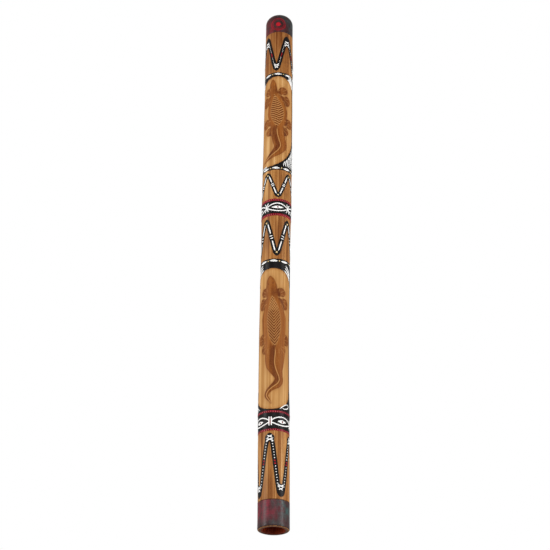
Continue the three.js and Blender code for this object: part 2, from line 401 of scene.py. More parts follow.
def bamboo_material():
    """Smoked bamboo skin, and the paler scraped wood of the panels with the darker stained relief, which
    also carries painted shade beside its spine ridges and in its creases.
    """
    s = Surface("bamboo", coat=0.02, coat_roughness=0.25, specular=0.12)
    broad = s.noise(150, (1, 1, 0.012), detail=2)
    fibre = s.noise(520, (1, 1, 0.012), detail=4, roughness=0.65)
    hair = s.noise(1900, (1, 1, 0.008), detail=2)
    cloud = s.noise(26, (1, 1, 0.35), shift=(3, 1, 4))
    streak = s.math("ADD", s.math("MULTIPLY", broad, 0.54), s.math("MULTIPLY", fibre, 0.46))
    skin = s.ramp(streak, [(0.34, (108, 64, 27)), (0.43, (145, 95, 46)), (0.50, (169, 118, 64)),
                           (0.57, (194, 148, 92)), (0.66, (226, 190, 138))])
    darkening = s.ramp(cloud, [(0.30, (176, 132, 100)), (0.55, (255, 246, 232)), (0.8, (255, 255, 250))])
    skin = s.mix(0.75, skin, darkening, "MULTIPLY")
    # Darker near 0.5 m and from 0.88 m up, palest near the foot and from 0.6 to 0.66 m, by height alone.
    height_tone = s.ramp(s.spread(s.axis("Z"), 0.0, 1.2), [
        (0.15, (254, 250, 246)), (0.50, (240, 232, 224)), (0.60, (255, 255, 255)), (0.66, (255, 255, 255)),
        (0.88, (236, 226, 214))])
    skin = s.mix(1.0, skin, height_tone, "MULTIPLY")
    ground = s.ramp(streak, [(0.30, (144, 94, 44)), (0.45, (180, 130, 72)), (0.55, (198, 150, 92)),
                             (0.70, (220, 180, 126))])
    stained = s.ramp(streak, [(0.30, (114, 52, 8)), (0.5, (142, 78, 22)), (0.70, (169, 103, 40))])
    deep = s.ramp(streak, [(0.30, (66, 22, 1)), (0.5, (96, 40, 3)), (0.70, (120, 58, 8))])
    grit = s.noise(900, (1, 1, 0.5))
    carve, stain, shade, cut, scar = (s.attribute(a) for a in ("carve", "stain", "shade", "cut", "scar"))
    burn = s.math("MULTIPLY", stain, s.spread(grit, 0.25, 0.75, 0.8, 1.1), clamp=True)
    # The shade attribute leads to the deep tone: the carving's darker stain together with its painted shade.
    depth = s.math("MULTIPLY", shade, s.spread(cloud, 0.3, 0.7, 0.75, 1.15), clamp=True)
    carved = s.mix(burn, ground, s.mix(depth, stained, deep))
    carved = s.mix(cut, carved, (216, 158, 92))
    colour = s.mix(carve, skin, carved)
    colour = s.mix(scar, colour, (74, 42, 20))
    roughness = s.spread(fibre, 0.2, 0.8, 0.34, 0.52)
    roughness = s.math("ADD", roughness, s.math("MULTIPLY", carve, 0.14))
    return s.finish(colour, roughness, [(fibre, 0.10), (hair, 0.04)])


def paint_material(name, dark, light, thin, roughness, worn=0.2):
    """Brushed acrylic paint: two close tones, brush lines, and thin spots where the ground shows."""
    s = Surface(name, roughness=roughness, coat=0.02, coat_roughness=0.3, specular=0.13)
    cloud = s.noise(60, (1, 1, 0.7), detail=4, shift=(1, 7, 2))
    brush = s.noise(700, (1, 1, 0.25))
    colour = s.ramp(cloud, [(0.32, dark), (0.68, light)])
    if worn:
        wear = s.noise(230, (1, 1, 0.4), detail=6, roughness=0.7, shift=(5, 5, 1))
        colour = s.mix(s.spread(wear, 0.62 - 0.1 * worn, 0.80, 0.0, worn), colour, thin)
    rough = s.spread(brush, 0.2, 0.8, roughness - 0.08, roughness + 0.12)
    return s.finish(colour, rough, [(brush, 0.05), (cloud, 0.10)])


def marbled_material(name, dark, light, glow, cool, low, high):
    """Dark paint rubbed with crimson on its left and teal on its right, plainer from high to low."""
    s = Surface(name, roughness=0.36, coat=0.06, coat_roughness=0.25, specular=0.25)
    cloud = s.noise(70, (1, 1, 0.9), detail=5, roughness=0.65)
    warm = s.noise(85, (1, 1, 0.6), detail=5, roughness=0.65, shift=(2, 9, 3))
    teal = s.noise(90, (1, 1, 0.7), detail=5, roughness=0.65, shift=(8, 2, 6))
    rings = s.noise(30, (0.2, 0.2, 26))
    leftward = s.spread(s.axis("X"), 0.024, -0.012)
    clear = s.spread(s.axis("Z"), low, high)
    base = s.ramp(cloud, [(0.3, dark), (0.72, light)])
    flush = s.math("MULTIPLY", s.spread(warm, 0.38, 0.62, 0.1, 0.95), s.math("MULTIPLY", leftward, clear))
    colour = s.mix(flush, base, glow)
    rightward = s.math("SUBTRACT", 1.15, leftward, True)
    chill = s.math("MULTIPLY", s.spread(teal, 0.46, 0.66, 0.0, 0.9), rightward)
    colour = s.mix(chill, colour, cool)
    shade = s.ramp(rings, [(0.35, (205, 205, 205)), (0.65, (255, 255, 255))])
    colour = s.mix(0.7, colour, shade, "MULTIPLY")
    rough = s.spread(cloud, 0.2, 0.8, 0.30, 0.52)
    return s.finish(colour, rough, [(rings, 0.06), (warm, 0.05)])


def rim_material():
    """Sawn bamboo end grain: pale, with the dots of its fibre bundles, darker towards the back."""
    s = Surface("sawn_bamboo", roughness=0.65, specular=0.3)
    spots = s.noise(1400, detail=2)
    cloud = s.noise(60, shift=(4, 4, 4))
    colour = s.ramp(spots, [(0.34, (76, 42, 26)), (0.48, (118, 80, 56)), (0.7, (150, 110, 82))])
    # The end grain darker towards the back, and in clouds.
    backward = s.spread(s.axis("Y"), -0.012, 0.024, 0.0, 0.85)
    darkening = s.math("ADD", backward, s.spread(cloud, 0.4, 0.8, -0.1, 0.3), True)
    colour = s.mix(darkening, colour, (60, 24, 10))
    return s.finish(colour, s.spread(spots, 0.2, 0.8, 0.55, 0.8), [(spots, 0.08)])


def bore_material():
    """The bored-out inside: red-brown stain over coarse fibres, black with soot in places."""
    s = Surface("stained_bore", roughness=0.6, specular=0.15)
    fibre = s.noise(480, (1, 1, 0.02), detail=4)
    cloud = s.noise(40, (1, 1, 0.4), shift=(6, 2, 1))
    colour = s.ramp(fibre, [(0.3, (98, 26, 4)), (0.5, (146, 46, 8)), (0.72, (184, 74, 16))])
    soot = s.ramp(cloud, [(0.35, (120, 90, 80)), (0.6, (255, 255, 255))])
    colour = s.mix(0.8, colour, soot, "MULTIPLY")
    return s.finish(colour, s.spread(fibre, 0.2, 0.8, 0.45, 0.75), [(fibre, 0.25)])


def turned_wood_material():
    """The mouthpiece's bare wood inside its hole and on its spigot."""
    s = Surface("turned_wood", roughness=0.5, coat=0.1)
    grain = s.noise(240, (1, 1, 0.05), detail=4)
    rings = s.noise(60, (0.3, 0.3, 30), detail=2)
    colour = s.ramp(grain, [(0.3, (96, 56, 30)), (0.5, (140, 92, 54)), (0.72, (172, 122, 78))])
    return s.finish(colour, s.spread(grain, 0.2, 0.8, 0.4, 0.62), [(grain, 0.08), (rings, 0.04)])


def beeswax_material():
    s = Surface("beeswax", roughness=0.55, specular=0.4)
    s.set(s.shader, {"Subsurface Weight": 0.15, "Subsurface Radius": (0.003, 0.0015, 0.0006)})
    lumps = s.noise(180, detail=4)
    fine = s.noise(1200, detail=2)
    colour = s.ramp(lumps, [(0.3, (168, 112, 38)), (0.6, (206, 156, 74)), (0.8, (222, 180, 104))])
    return s.finish(colour, s.spread(fine, 0.2, 0.8, 0.45, 0.7), [(lumps, 0.5), (fine, 0.06)])


PALETTE = {colour: paint_material(f"{colour}_paint", *tones) for colour, *tones in (
    ("black", (8, 5, 5), (20, 15, 15), (60, 44, 34), 0.36),
    ("white", (244, 242, 238), (253, 252, 250), (200, 192, 180), 0.5),
    ("red", (150, 12, 28), (196, 26, 40), (80, 14, 18), 0.42),
    ("crimson", (118, 8, 22), (158, 18, 38), (70, 10, 14), 0.42),
    ("pink", (196, 92, 104), (222, 140, 146), (150, 50, 60), 0.45),
    ("ochre", (200, 168, 104), (226, 200, 144), (150, 114, 66), 0.5),
    ("brown", (40, 18, 10), (66, 32, 16), (90, 56, 32), 0.4, 0.0))}
BAMBOO = bamboo_material()
BELL_MARBLE = marbled_material("bell_marble", (38, 16, 17), (78, 50, 50), (134, 18, 44), (54, 86, 84),
                               0.004, 0.024)
# On the mouthpiece the crimson fades out towards the dome's top, leaving it darker there: painted shade.
MOUTH_MARBLE = marbled_material("mouth_marble", (18, 4, 6), (54, 30, 30), (128, 16, 26), (48, 62, 62),
                                1.200, 1.160)
RIM = rim_material()
BORE = bore_material()
TURNED_WOOD = turned_wood_material()
BEESWAX = beeswax_material()


# ---- Panels and the carved lizards ----

LOWER_PANEL = {"middle": -7.0, "half_width": 83.0, "bottom": 236, "top": 544,
               "bottom_arch": 46, "top_arch": 32, "slant": 0.0}
UPPER_PANEL = {"middle": -3.0, "half_width": 79.0, "bottom": 791, "top": 1022,
               "bottom_arch": 12, "top_arch": 32, "slant": 58}
SLANT_CURVE = 3.5


def panel_across(panel, degrees):
    """-1 at a panel's left side and 1 at its right side."""
    return np.clip((degrees - panel["middle"]) / panel["half_width"], -1, 1)


def panel_low(panel, degrees):
    across = panel_across(panel, degrees)
    arch = 1 - np.sqrt(1 - across**2)
    return panel["bottom"] + panel["slant"] * ((across + 1) / 2) ** SLANT_CURVE + panel["bottom_arch"] * arch


def panel_high(panel, degrees):
    return panel["top"] - panel["top_arch"] * (1 - np.sqrt(1 - panel_across(panel, degrees) ** 2))


def inside_panel(panel, degrees, run):
    """About how far inside the panel's edge a point is."""
    step = 0.5
    reach = np.radians(step) * NOMINAL_RADIUS * 2
    from_ends = []
    for edge, sign in ((panel_low, 1), (panel_high, -1)):
        slope = (edge(panel, degrees + step) - edge(panel, degrees - step)) / reach
        from_ends.append(sign * (run - edge(panel, degrees)) / np.sqrt(1 + slope**2))
    from_side = np.radians(panel["half_width"] - np.abs(degrees - panel["middle"])) * NOMINAL_RADIUS
    return np.minimum.reduce([*from_ends, from_side])


FAR = 1000.0


def limb_distance(x, y, points, radii):
    """Signed distance to a tapering limb, and the nearest spot of its spine: share along, and offset."""
    path, along = resample(points, 2.0, True)
    lengths = np.linalg.norm(np.diff(points, axis=0), axis=1)
    knots = np.concatenate([[0], np.cumsum(lengths)]) / lengths.sum()
    distance, closest = np.full(x.shape, FAR), np.full(x.shape, FAR)
    nearest_t, side = np.zeros(x.shape), np.zeros(x.shape)
    t = along / along[-1]
    widths = np.interp(t, knots, radii)
    for i in range(len(path) - 1):
        a, b = path[i], path[i + 1]
        ab = b - a
        s = unit(((x - a[0]) * ab[0] + (y - a[1]) * ab[1]) / (ab @ ab))
        dx, dy = x - a[0] - s * ab[0], y - a[1] - s * ab[1]
        away = np.hypot(dx, dy)
        distance = np.minimum(distance, away - (widths[i] + (widths[i + 1] - widths[i]) * s))
        nearer = away < closest
        closest = np.where(nearer, away, closest)
        nearest_t = np.where(nearer, t[i] + (t[i + 1] - t[i]) * s, nearest_t)
        side = np.where(nearer, (dx * ab[1] - dy * ab[0]) / np.hypot(*ab), side)
    return distance, nearest_t, side


def smooth_min(a, b, reach):
    h = unit(0.5 + 0.5 * (b - a) / reach)
    return b + (a - b) * h - reach * h * (1 - h)


def soft_line(distance, width):
    return np.exp(-((distance / (width / 2)) ** 2))


class Lizard:
    """A plain lizard seen from above: a tapering body on a curved spine, and four two-lobed paws."""

    def __init__(self, body, shoulder, hip, scales, strength):
        body = np.array(body)
        self.spine, self.radii = body[:, :2], body[:, 2]
        self.length = np.linalg.norm(np.diff(self.spine, axis=0), axis=1).sum()
        self.scales = scales
        self.strength = strength
        self.lobes = []
        for side in (-1, 1):
            self.add_paw(shoulder, side, [(17, 13, 11.5, 10.5), (25, -12, 11, 13.5)])
            self.add_paw(hip, side, [(28, 5, 11.5, 12.5), (17, -18, 10.5, 11)])

    def add_paw(self, root, side, lobes):
        for out, along, reach_out, reach_along in lobes:
            centre = (root[0] + side * out, root[1] + along)
            self.lobes.append((root, centre, (reach_out, reach_along)))

    def paw_fields(self, x, y):
        """Distance to the paws and arms, and the grooves between their toes."""
        nearest = np.full(x.shape, FAR)
        toes = np.zeros(x.shape)
        outlines = np.zeros(x.shape)
        for root, (cx, cy), (rx, ry) in self.lobes:
            lobe = (np.hypot((x - cx) / rx, (y - cy) / ry) - 1) * min(rx, ry)
            limb = limb_distance(x, y, [root, (cx, cy)], [7, 6])[0]
            nearest = smooth_min(nearest, smooth_min(lobe, limb, 2), 1.5)
            heel_x, heel_y = cx + (root[0] - cx) * 0.35, cy + (root[1] - cy) * 0.35
            turn = np.arctan2(y - heel_y, x - heel_x) - math.atan2(cy - heel_y, cx - heel_x)
            turn = (turn + np.pi) % (2 * np.pi) - np.pi
            reach = np.hypot(x - heel_x, y - heel_y)
            groove = soft_line(np.sin(turn * 4.5) * reach / 4.5, 1.3)
            groove = groove * (np.abs(turn) < 1.2) * unit(reach / 4 - 1)
            toes = np.maximum(toes, groove * (lobe < 0))
            outlines = np.maximum(outlines, soft_line(limb, 1.4) * (lobe > -3))
        return nearest, toes, outlines

    def scale_lines(self, t, side):
        """Chevrons across the back, crossed by others as far as net_to, which makes diamonds."""
        pitch = self.scales["pitch"]
        width = self.scales["line"] * math.hypot(1, self.scales["slope"])
        lines = []
        for slope in (self.scales["slope"], -self.scales["slope"]):
            phase = (t * self.length + slope * np.abs(side - self.scales["vertex"])) / pitch
            lines.append(soft_line((phase - np.round(phase)) * pitch, width))
        in_net = unit((self.scales["net_to"] - t) / 0.02)
        return np.maximum(lines[0], lines[1] * in_net)

    def carve(self, x, y):
        """Relief height, stain, dark shading and pale cut lines for points x round and y along."""
        body, t, side = limb_distance(x, y, self.spine, self.radii)
        paws, toes, outlines = self.paw_fields(x, y)
        whole = smooth_min(body, paws, 3)
        rise = unit(-whole / 3.0)
        pillow = np.sqrt(unit(-body / 18))
        relief = 0.55 * np.sqrt(1 - (1 - rise) ** 2) + 0.45 * pillow
        on_lizard = unit(0.5 - whole / 2.2)
        stain = np.maximum(self.strength * on_lizard, 0.38 * np.exp(-np.maximum(whole, 0) / 7))

        start, end = self.scales["from"], self.scales["to"]
        middle = (t - start) / (end - start)
        swell = np.sin(np.pi * unit(middle) ** self.scales["skew"]) ** self.scales["taper"]
        patch = self.scales["half_width"] * swell
        in_patch = unit((patch - np.abs(side)) / 1.2)
        scales = self.scale_lines(t, side) * in_patch
        hem = soft_line(np.abs(side) - patch, 1.6) * (patch > 3) * (body < 0)
        ridge = soft_line(side, 1.5) * (body < -0.8) * unit((t - end) / 0.03)
        outlines = outlines * (body > -0.55 * patch) * (whole < -0.8)
        cuts = np.maximum.reduce([0.9 * scales, 0.3 * toes, 0.4 * outlines, 0.3 * hem, 0.8 * ridge])

        edge = soft_line(whole + 1.2, 2.4)
        behind_patch = unit((t - end + 0.04) / 0.06)
        # A painted shadow along the left side of the raised spine ridge, behind the scale patch.
        spine_side_shadow = np.exp(-(((side - 4.5) / 6) ** 2)) * behind_patch
        neck = unit(1 - np.abs(t - start * 0.9) / 0.07)
        neck = neck * np.exp(-(((side + 6) / 8) ** 2))
        on_paw = unit(-paws / 3) * unit(body / 3)
        # Painted shade in the creases where the paws meet the body, stronger on the right side.
        crease_shade = soft_line(body - 1, 5) * unit(-paws / 2)
        crease_shade = crease_shade * np.where(side < 0, 0.8, 0.35)
        # shade holds the carving's own darker tones and also painted shade: the shadow beside the spine
        # ridge and the creases by the paws.
        shade = 0.1 + 0.5 * edge + 0.4 * on_paw + 1.3 * spine_side_shadow + 0.7 * neck + 0.95 * in_patch + crease_shade
        shade = unit(shade) * on_lizard
        # The stain takes a fifth of the shade, painted shade included.
        stain = unit(stain + 0.2 * shade)
        eyes = np.zeros(x.shape)
        for sign in (-1, 1):
            away = np.hypot(t * self.length - 15, side - sign * 5)
            eyes = np.maximum(eyes, soft_line(away, 3.2))
        relief = relief + 0.2 * ridge + 0.3 * eyes - 0.25 * np.maximum.reduce([scales, toes, outlines, hem])
        shade = unit(shade + 0.6 * eyes)
        return relief, stain, shade, unit(cuts)


LOWER_LIZARD = Lizard(
    [(-9, 525, 3.5), (-8, 516, 9), (-6, 503, 12), (-5, 489, 12), (-3, 474, 13.5), (-1, 456, 20),
     (0, 432, 28), (1, 405, 26), (2, 382, 23), (4, 360, 22), (3, 344, 21.5), (3, 331, 19),
     (6.5, 317, 13), (11, 305, 9), (12, 297, 9.5), (7.5, 288.5, 9), (-4, 279.5, 6), (-11.5, 272, 5.2),
     (-14, 264, 4.4), (-9.5, 256, 3.2), (-4, 247.5, 0.8)],
    (-2, 478), (0, 382),
    {"pitch": 6.4, "slope": 1.35, "line": 0.9, "vertex": 0, "net_to": 0.27, "from": 0.14, "to": 0.54,
     "half_width": 14.5, "skew": 1.1, "taper": 0.75}, 0.95)
UPPER_LIZARD = Lizard(
    [(-12, 1012, 4.5), (-12, 1003, 8), (-11, 992, 9), (-9, 978, 9), (-6, 966, 12), (-4, 950, 18.5),
     (-1.5, 930, 23.5), (-0.5, 910, 20.5), (-1, 893, 14), (0, 874, 14.5), (4, 857, 15), (7, 842, 14.5),
     (0, 829, 11), (-14, 818, 6.8), (-28, 808, 3.2), (-42, 802, 0.6)],
    (-5, 972), (-1, 898),
    {"pitch": 5.7, "slope": 0.6, "line": 1.4, "vertex": -4, "net_to": 0.2, "from": 0.13, "to": 0.52,
     "half_width": 15, "skew": 1.3, "taper": 1.0}, 1.0)


# ---- Culm ----


PANEL_ROW, PLAIN_ROW = 0.751, 1.5
# Angles round the culm, close together over the panel and wider apart behind it.
PANEL_COLUMNS = np.concatenate([np.arange(-93, 85, 1.3), np.linspace(85, 267, 66, endpoint=False)])
PLAIN_COLUMNS = np.arange(-180, 180, 2.5)


def skin_stretch(name, low, high, panel=None, lizard=None):
    """The culm's skin from one run to another, with its panel carved in if it has one."""
    degrees, row = (PANEL_COLUMNS, PANEL_ROW) if panel else (PLAIN_COLUMNS, PLAIN_ROW)
    rows = int((high - low) / row) + 2
    run, degrees = np.meshgrid(np.linspace(low, high, rows), degrees, indexing="ij")
    lift, carve, stain, shade, cut = (np.zeros(run.shape) for _ in range(5))
    if panel:
        front = np.where(degrees > 180, degrees - 360, degrees)
        inside = inside_panel(panel, front, run)
        carve = unit(inside / 1.3 + 0.3)
        carve = carve * carve * (3 - 2 * carve)
        relief, stain, shade, cut = lizard.carve(np.radians(front) * NOMINAL_RADIUS, run)
        gouges = 0.05 * np.sin(run / 3.7 + 3 * np.sin(np.radians(front) * 9)) * carve
        lift = (-PANEL_DEPTH + 0.98 * PANEL_DEPTH * relief + gouges) * carve
        halo = unit(1 - inside / 6) * 0.3
        stain = unit(stain + halo * carve)
    scar = sum(soft_line(run - n - 4.0, 2.4) for n in NODE_HEIGHTS) * 0.3
    scar = scar * (1 - carve)
    shape = Shape()
    shape.add_grid(place(degrees, run, lift), wrap=True)
    return shape.build(name, BAMBOO, "bamboo", carve=carve, stain=stain, shade=shade, cut=cut, scar=scar)


def turned(name, profile, material, slot, crooked=False, columns=144):
    """A surface turned about the bore from (radius, height) points, following the crook if asked."""
    profile = np.array(profile)
    degrees = np.linspace(0, 2 * np.pi, columns, endpoint=False)
    radius, height = profile[:, :1], profile[:, 1:]
    side = bow(height) if crooked else 0 * height
    points = np.stack(np.broadcast_arrays(
        side + radius * np.sin(degrees), -radius * np.cos(degrees), height), axis=-1)
    shape = Shape()
    shape.add_grid(points, wrap=True)
    return shape.build(name, material, slot)


def arc(centre_r, centre_z, radius, start, end, steps):
    angles = np.radians(np.linspace(start, end, steps + 1))
    return [(centre_r + radius * math.cos(a), centre_z + radius * math.sin(a)) for a in angles]


SKIN_CUTS = [-1.0, 209, 553, 688, 1030, CULM_TOP - LIP]
STRETCHES = (("bell_end",), ("lower_panel", LOWER_PANEL, LOWER_LIZARD), ("middle",),
             ("upper_panel", UPPER_PANEL, UPPER_LIZARD), ("mouth_end",))


def bore_levels(bore, low, high):
    """(radius, height) of each level of the bore from low to high."""
    heights = np.concatenate([[low], bore[(bore[:, 0] > low) & (bore[:, 0] < high), 0], [high]])
    return pairs(np.interp(heights, bore[:, 0], bore[:, 2]), heights)


def bell_rim():
    """The sawn end, from where the first skin stretch stops to the rounded edge of the bore."""
    skin_end = place(0.0, SKIN_CUTS[0])
    flat = radius_at(0) - BELL_ROUND
    turn = math.degrees(math.atan2(float(skin_end[2]) - BELL_ROUND, -float(skin_end[1]) - flat))
    hole_edge = BORE_RADIUS + BELL_INNER_ROUND
    inner = arc(hole_edge, BELL_INNER_ROUND, BELL_INNER_ROUND, 270, 180, 6)
    middle = [(r, 0.0) for r in np.linspace(flat, hole_edge, 5)[1:-1]]
    rim = [*arc(flat, BELL_ROUND, BELL_ROUND, turn, -90, 5), *middle, *inner]
    turned("culm_bell_rim", rim, RIM, "bamboo", columns=180)


def culm():
    skins = [skin_stretch(f"culm_{name}", low, high, *carving)
             for (name, *carving), low, high in zip(STRETCHES, SKIN_CUTS, SKIN_CUTS[1:])]
    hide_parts("culm")
    bell_rim()
    bore = read_line(culm_points, LEAST_BORE_RADIUS, BORE_RADIUS + 0.1, 0, LENGTH)
    cuts = [bore[0, 0], *SKIN_CUTS[1:-1], bore[-1, 0]]
    for skin, low, high in zip(skins, cuts, cuts[1:]):
        turned(f"{skin.name}_bore", bore_levels(bore, low, high), BORE, "bamboo", crooked=True)
    top = float(radius_at(CULM_TOP))
    lip = [(top, CULM_TOP - LIP), (top - 0.5, CULM_TOP), (BORE_RADIUS, CULM_TOP)]
    turned("culm_mouth_face", lip, RIM, "bamboo")


# ---- Mouthpiece ----


def mouthpiece():
    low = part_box("mouthpiece")[0].z / MM
    seam = CULM_TOP + GLUE
    rise = np.linspace(seam + 0.5, DOME_HEIGHT, 28)
    meeting = 90 - math.degrees(DOME_LEAN)
    dome = arc(DOME_CENTRE, DOME_HEIGHT, DOME_RADIUS, 0, meeting, 24)
    shoulder = [(SPIGOT_RADIUS, seam), (NOMINAL_RADIUS - 0.5, seam)]
    outside = [*shoulder, *[(NOMINAL_RADIUS, z) for z in rise[:-1]], *dome]
    fillet = arc(FILLET_CENTRE, LENGTH - HOLE_FILLET, HOLE_FILLET, meeting, 180, 14)
    painted = turned("mouthpiece_dome", [*outside, *fillet[1:6]], MOUTH_MARBLE, "mouthpiece_wood")
    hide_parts("mouthpiece")
    hole_high = LENGTH - HOLE_FILLET
    hole = [(HOLE_RADIUS + (HOLE_LOW_RADIUS - HOLE_RADIUS) * share, hole_high + (low - hole_high) * share)
            for share in np.linspace(0, 1, 20)[1:]]
    tail = [(SPIGOT_RADIUS - 0.5, low), (SPIGOT_RADIUS, low + 0.5), (SPIGOT_RADIUS, seam)]
    turned("mouthpiece_hole", [*fillet[5:], *hole, *tail], TURNED_WOOD, "mouthpiece_wood")


# ---- Painting ----

QUARTERS = (-180, -90, 0, 90)
BELL_BAND = 52
LOWER_EYES = (190, 232)
UPPER_EYES = (669, 710)
LOWER_BORDER = 567.5
UPPER_BORDER = 1034
FOOT_BORDER = 781
MARGIN = 0.8


class Paints:
    """The strokes of each colour in one part of the painting: paints.black is a Shape, and so on."""

    def __init__(self, part):
        self.part = part
        for colour in PALETTE:
            setattr(self, colour, Shape())

    def build(self, slot):
        for colour, material in PALETTE.items():
            shape = getattr(self, colour)
            if shape.count:
                shape.build(f"{self.part}_{colour}_paint", material, slot)


def ring(shape, run, width, coats):
    field(shape, run - width / 2, run + width / 2, coats)


def dotted_ring(shape, run, size, turn=0.0):
    """Small dots all round, on a painted rim."""
    gap = 4.4
    count = int(2 * np.pi * NOMINAL_RADIUS / gap)
    for k in range(count):
        dot(shape, k * 360 / count + turn, run + 0.2 * math.sin(k * 1.7), size, coats=1.6)


def zigzag_leg(peak, valley, low, high, roundness):
    """A function for a leg's points between two shares of its height. roundness makes it a wave."""
    def points(start=0.0, end=1.0):
        share = np.linspace(start, end, 15)
        wave = (1 - np.cos(np.pi * share)) / 2
        height = low + (high - low) * (share + (wave - share) * roundness)
        return pairs(valley + (peak - valley) * share, height)
    return points


def zigzag(paints, first_peak, low, high, width, roundness, detail, lean=0.0):
    """Four peaks and four valleys round the instrument, with a detail drawn on each leg."""
    for quarter in QUARTERS:
        peak = first_peak + quarter
        for valley in (peak - 45 + lean, peak + 45 + lean):
            leg = zigzag_leg(peak, valley, low, high, roundness)
            stroke(paints.black, leg(), width, pointed=width * 0.8, coats=0)
            detail(paints, leg)


def across_leg(middle, reach):
    """The two ends of a short bar across a leg at the middle of three of its points."""
    path = to_plane(middle)
    along = path[2] - path[0]
    square = np.array([-along[1], along[0]]) / np.hypot(*along) * reach / 2
    return [(to_degrees(end[0]), end[1]) for end in (path[1] - square, path[1] + square)]


def tied_leg(paints, leg):
    """A white line in two lengths, with two short bars across the leg between them."""
    for start, end in ((0.15, 0.42), (0.58, 0.85)):
        stroke(paints.white, leg(start, end), 2.1, pointed=3)
    for share in (0.47, 0.53):
        middle = leg(share - 0.01, share + 0.01)[::7]
        stroke(paints.white, across_leg(middle, 7.0), 2.0)


def lined_leg(paints, leg):
    """Fine white dashes along the leg, with a red length at its middle."""
    path, along = resample(to_plane(leg(0.16, 0.84)), 4.2, False)
    for (x, run), (next_x, next_run), share in zip(path, path[1:], along / along[-1]):
        dash = [(to_degrees(x), run), (to_degrees(next_x), run + (next_run - run) * 0.7)]
        colour, width = (paints.red, 2.6) if 0.30 < share < 0.50 else (paints.white, 0.9)
        stroke(colour, dash, width)


def dotted_leg(paints, leg):
    """A row of white dots, with a red length about half-way."""
    path, along = resample(to_plane(leg(0.25, 0.82)), 5.8, False)
    for (x, run), share in zip(path, 1 - along / along[-1]):
        colour, size = (paints.red, 3.4) if 0.44 < share < 0.57 else (paints.white, 2.1)
        dot(colour, to_degrees(x), run, size)


def hatched_cap(paints, degrees, run, width, height, point):
    """Two crosses of white over black where two legs meet. point is 1 at a peak and -1 at a valley."""
    dot(paints.black, degrees, run, width * 1.2, coats=0.2, tall=height / width * 1.15)
    for row in (-1, 1):
        half = to_degrees(width / 2) * (0.62 if row == point else 0.85)
        level = run + row * height * 0.25
        for lean in (-1, 1):
            stroke(paints.white, [(degrees - lean * half, level - height * 0.2),
                                  (degrees + lean * half, level + height * 0.2)], 1.7,
                   coats=1.4 + 0.2 * lean, smooth=False)
    for lean in (-1, 1):
        foot = run - point * height * 0.46
        stroke(paints.white, [(degrees + lean * to_degrees(width * 0.46), foot - point * height * 0.1),
                              (degrees + lean * to_degrees(width * 0.2), foot)], 1.4, coats=1.4)


def caps(paints, *rows):
    """Hatched caps in each quarter, from rows of degrees, run, width, height and point."""
    for quarter in QUARTERS:
        for degrees, *row in rows:
            hatched_cap(paints, degrees + quarter, *row)


def tip_dots(paints, size, *tips):
    """Ochre dots in each quarter where two legs meet, at (degrees, run) tips."""
    for quarter in QUARTERS:
        for degrees, run in tips:
            dot(paints.ochre, degrees + quarter, run, size)


def eye_band(paints, low, high, first, rims, rise, sag, lens_size, middle,
             reach, width, bars, dots):
    """A black band between crimson dotted rims, with four lenses tied together by two bars.

    Each lens has two white lines round it: a high arch over it and a flatter sag under it.
    """
    field(paints.black, low, high)
    for run in (low + rims / 2, high - rims / 2):
        ring(paints.crimson, run, rims, coats=0.6)
        dotted_ring(paints.pink, run, 1.3)
        dotted_ring(paints.black, run, 2.2, turn=4.2)
    span = np.linspace(-reach, reach, 17)
    arch = unit(1 - (span / reach) ** 2)
    for quarter in QUARTERS:
        centre = first + quarter
        for line in (middle + 1.2 + rise * arch**0.9, middle - 1.2 - sag * arch):
            stroke(paints.white, pairs(centre + span, line), 2.3)
        lens(paints.white, centre, middle, *lens_size)
        dot(paints.black, centre + 1, middle, 3.8, coats=2.2)
        dot(paints.red, centre + 1, middle, 2.4, coats=2.7)
        for side in (-1, 1):
            bar = [(centre + 45 + side * out, middle + along) for out, along in bars]
            stroke(paints.white, bar, width, coats=1.3)
        for step in dots:
            dot(paints.red, centre + 45, middle + step * 3.6, 2.0)


def lens_row(paints, run, first, height=5.2):
    """White leaves with ochre dots between them, on a black band."""
    for k in range(8):
        centre = first + k * 45
        lens(paints.white, centre, run, 17.5, height, (0.5 - k % 2) * 0.6, (-4, 5, -2, 3)[k % 4])
        stroke(paints.black, [(centre - 11, run), (centre + 11, run + 0.5)], 0.5, coats=1.6)
        dot(paints.ochre, centre + 22.5, run, 2.9)


def corner_arcs(paints, panel, side, start, count, first, gap):
    """White strokes in the black beside a panel's arched end, one over another along its curve."""
    for k in range(count):
        angles = np.linspace(start + 3.5 * k, panel["half_width"] - 2, 9) * side + panel["middle"]
        runs = panel_high(panel, angles) + first + gap * k
        stroke(paints.white, pairs(angles, runs), 2.7, pointed=4)


def side_line(paints, panel):
    """A black line down a panel's right side, on the skin just outside it."""
    edge = panel["middle"] + panel["half_width"] + 3.5
    ends = [(edge, panel_low(panel, edge) - 4), (edge, panel_high(panel, edge) + 4)]
    stroke(paints.black, ends, 3.4, coats=0)


def panel_end(panel, end, margin, at_back):
    """An edge that follows one end of a panel and swings to another height behind it."""
    def edge(degrees):
        turn = (degrees - panel["middle"] + 180) % 360 - 180
        level = end(panel, panel["middle"] + turn) + margin
        away = unit((np.abs(turn) - panel["half_width"]) / (180 - panel["half_width"]))
        return level + (at_back - level) * (1 - np.cos(np.pi * away)) / 2
    return edge


LEAF = ((0, 4), (12, 9.5), (26, 15), (38, 17), (43, 13), (34, 8), (20, 5.5), (10, 7))


def paint_bell_end(paints):
    marble = Shape()
    field(marble, 0.2, BELL_BAND, step=0.6)
    marble.build("bell_marbled_paint", BELL_MARBLE, "bamboo")
    ring(paints.brown, BELL_BAND + 0.5, 1.6, coats=0.5)
    zigzag(paints, -13, 57.5, 186, 9.4, 0.85, dotted_leg, lean=-4)
    caps(paints, (-13, 175.5, 16.5, 12.5, 1), (28, 76, 14, 11.5, -1))


